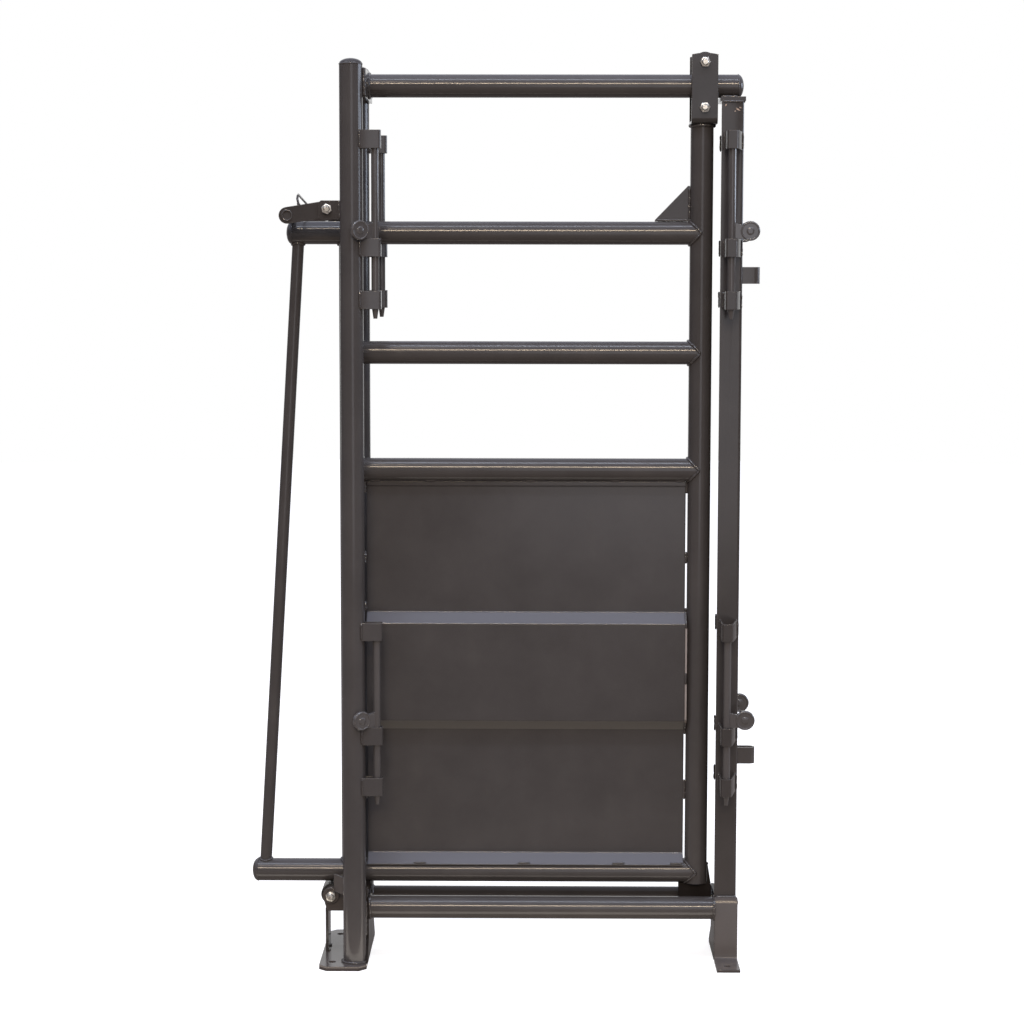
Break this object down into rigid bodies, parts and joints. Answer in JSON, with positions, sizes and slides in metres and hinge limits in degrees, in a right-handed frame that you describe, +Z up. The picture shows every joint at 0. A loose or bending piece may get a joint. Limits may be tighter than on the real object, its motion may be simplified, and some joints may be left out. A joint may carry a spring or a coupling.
{
  "type": "livestock_alley_gate",
  "caption": "Sliding alley gate hung on rollers in a tube frame, with a lift latch and drop pins for side panels",
  "frame": {"origin": "centre of the footprint at floor level, under the gate's plane", "axes": "+Z up, X along the gate's travel, the side with the bolts' nuts faces -Y"},
  "size_m": [1.0768, 0.293, 1.9174],
  "materials": {
    "coat": "semi-gloss dark powder coat with fine orange peel",
    "zinc": "bright zinc plate",
    "roller": "turned black nylon"
  },
  "bodies": {
    "fixed_frame": {"base_plate": "coat", "bottom_rail_front": "coat", "bottom_rail_rear": "coat", "cap_post_front": "coat", "cap_post_rear": "coat", "cap_top_rail": "coat", "end_plate_left": "coat", "end_plate_right": "coat", "foot_strap_right": "coat", "guide_tab_front": "coat", "guide_tab_rear": "coat", "latch_ear_front": "coat", "latch_ear_rear": "coat", "lug_lower": "coat", "lug_upper": "coat", "post_front": "coat", "post_rear": "coat", "post_tie_plate": "coat", "roller_bar": "coat", "roller_bolt_lower": "zinc", "roller_bracket_front": "coat", "roller_bracket_rear": "coat", "top_rail": "coat", "upright_cap_plate": "coat", "upright_right": "coat"},
    "sliding_gate": {"gate_tube_right": "coat", "gate_tube_left": "coat", "gate_rail_top": "coat", "gate_rail_upper": "coat", "gate_rail_middle": "coat", "gate_rail_low": "coat", "cap_gate_rail_top": "coat", "cap_gate_rail_low": "coat", "gate_brace": "coat", "gate_gusset": "coat", "gate_sheet": "coat", "hanger_bracket": "coat", "guide_tongue": "coat", "hanger_bolt_upper": "zinc", "hanger_bolt_lower": "zinc"},
    "roller_hanger_upper": {"hanger_roller_upper": "roller"},
    "roller_hanger_lower": {"hanger_roller_lower": "roller"},
    "roller_support": {"roller_lower": "roller"},
    "lift_latch": {"latch_arm_front": "coat", "latch_arm_rear": "coat", "latch_rod": "coat", "latch_bail": "coat", "latch_bolt_front": "zinc", "latch_bolt_rear": "zinc"},
    "pin_front_left_lower_body": {"pin_front_left_lower": "coat"},
    "pin_front_left_upper_body": {"pin_front_left_upper": "coat"},
    "pin_front_right_lower_body": {"pin_front_right_lower": "coat"},
    "pin_front_right_upper_body": {"pin_front_right_upper": "coat"},
    "pin_rear_left_lower_body": {"pin_rear_left_lower": "coat"},
    "pin_rear_left_upper_body": {"pin_rear_left_upper": "coat"},
    "pin_rear_right_lower_body": {"pin_rear_right_lower": "coat"},
    "pin_rear_right_upper_body": {"pin_rear_right_upper": "coat"}
  },
  "joints": [
    {"name": "gate_slide", "type": "slide", "parent": "fixed_frame", "child": "sliding_gate", "axis": [-1, 0, 0], "range_m": [0, 0.65]},
    {"name": "hanger_roller_upper_spin", "type": "hinge", "parent": "sliding_gate", "child": "roller_hanger_upper", "pos_m": [0.4174, 0, 1.89545], "axis": [0, 1, 0], "range_deg": [-1700, 1700]},
    {"name": "hanger_roller_lower_spin", "type": "hinge", "parent": "sliding_gate", "child": "roller_hanger_lower", "pos_m": [0.4174, 0, 1.80255], "axis": [0, 1, 0], "range_deg": [-1700, 1700]},
    {"name": "support_roller_spin", "type": "hinge", "parent": "fixed_frame", "child": "roller_support", "pos_m": [-0.3666, 0, 0.13535], "axis": [0, 1, 0], "range_deg": [-1700, 1700]},
    {"name": "latch_lift", "type": "hinge", "parent": "fixed_frame", "child": "lift_latch", "pos_m": [-0.3619, 0, 1.5914], "axis": [0, 1, 0], "range_deg": [0, 70]},
    {"name": "pin_front_left_lower_lift", "type": "slide", "parent": "fixed_frame", "child": "pin_front_left_lower_body", "axis": [0, 0, 1], "range_m": [0, 0.148]},
    {"name": "pin_front_left_upper_lift", "type": "slide", "parent": "fixed_frame", "child": "pin_front_left_upper_body", "axis": [0, 0, 1], "range_m": [0, 0.148]},
    {"name": "pin_front_right_lower_lift", "type": "slide", "parent": "fixed_frame", "child": "pin_front_right_lower_body", "axis": [0, 0, 1], "range_m": [0, 0.148]},
    {"name": "pin_front_right_upper_lift", "type": "slide", "parent": "fixed_frame", "child": "pin_front_right_upper_body", "axis": [0, 0, 1], "range_m": [0, 0.148]},
    {"name": "pin_rear_left_lower_lift", "type": "slide", "parent": "fixed_frame", "child": "pin_rear_left_lower_body", "axis": [0, 0, 1], "range_m": [0, 0.148]},
    {"name": "pin_rear_left_upper_lift", "type": "slide", "parent": "fixed_frame", "child": "pin_rear_left_upper_body", "axis": [0, 0, 1], "range_m": [0, 0.148]},
    {"name": "pin_rear_right_lower_lift", "type": "slide", "parent": "fixed_frame", "child": "pin_rear_right_lower_body", "axis": [0, 0, 1], "range_m": [0, 0.148]},
    {"name": "pin_rear_right_upper_lift", "type": "slide", "parent": "fixed_frame", "child": "pin_rear_right_upper_body", "axis": [0, 0, 1], "range_m": [0, 0.148]}
  ],
  "couplings": [
    {"joint": "hanger_roller_upper_spin", "follows": "gate_slide", "rad_per_m": -45.455},
    {"joint": "hanger_roller_lower_spin", "follows": "gate_slide", "rad_per_m": 45.455},
    {"joint": "support_roller_spin", "follows": "gate_slide", "rad_per_m": -45.455}
  ]
}
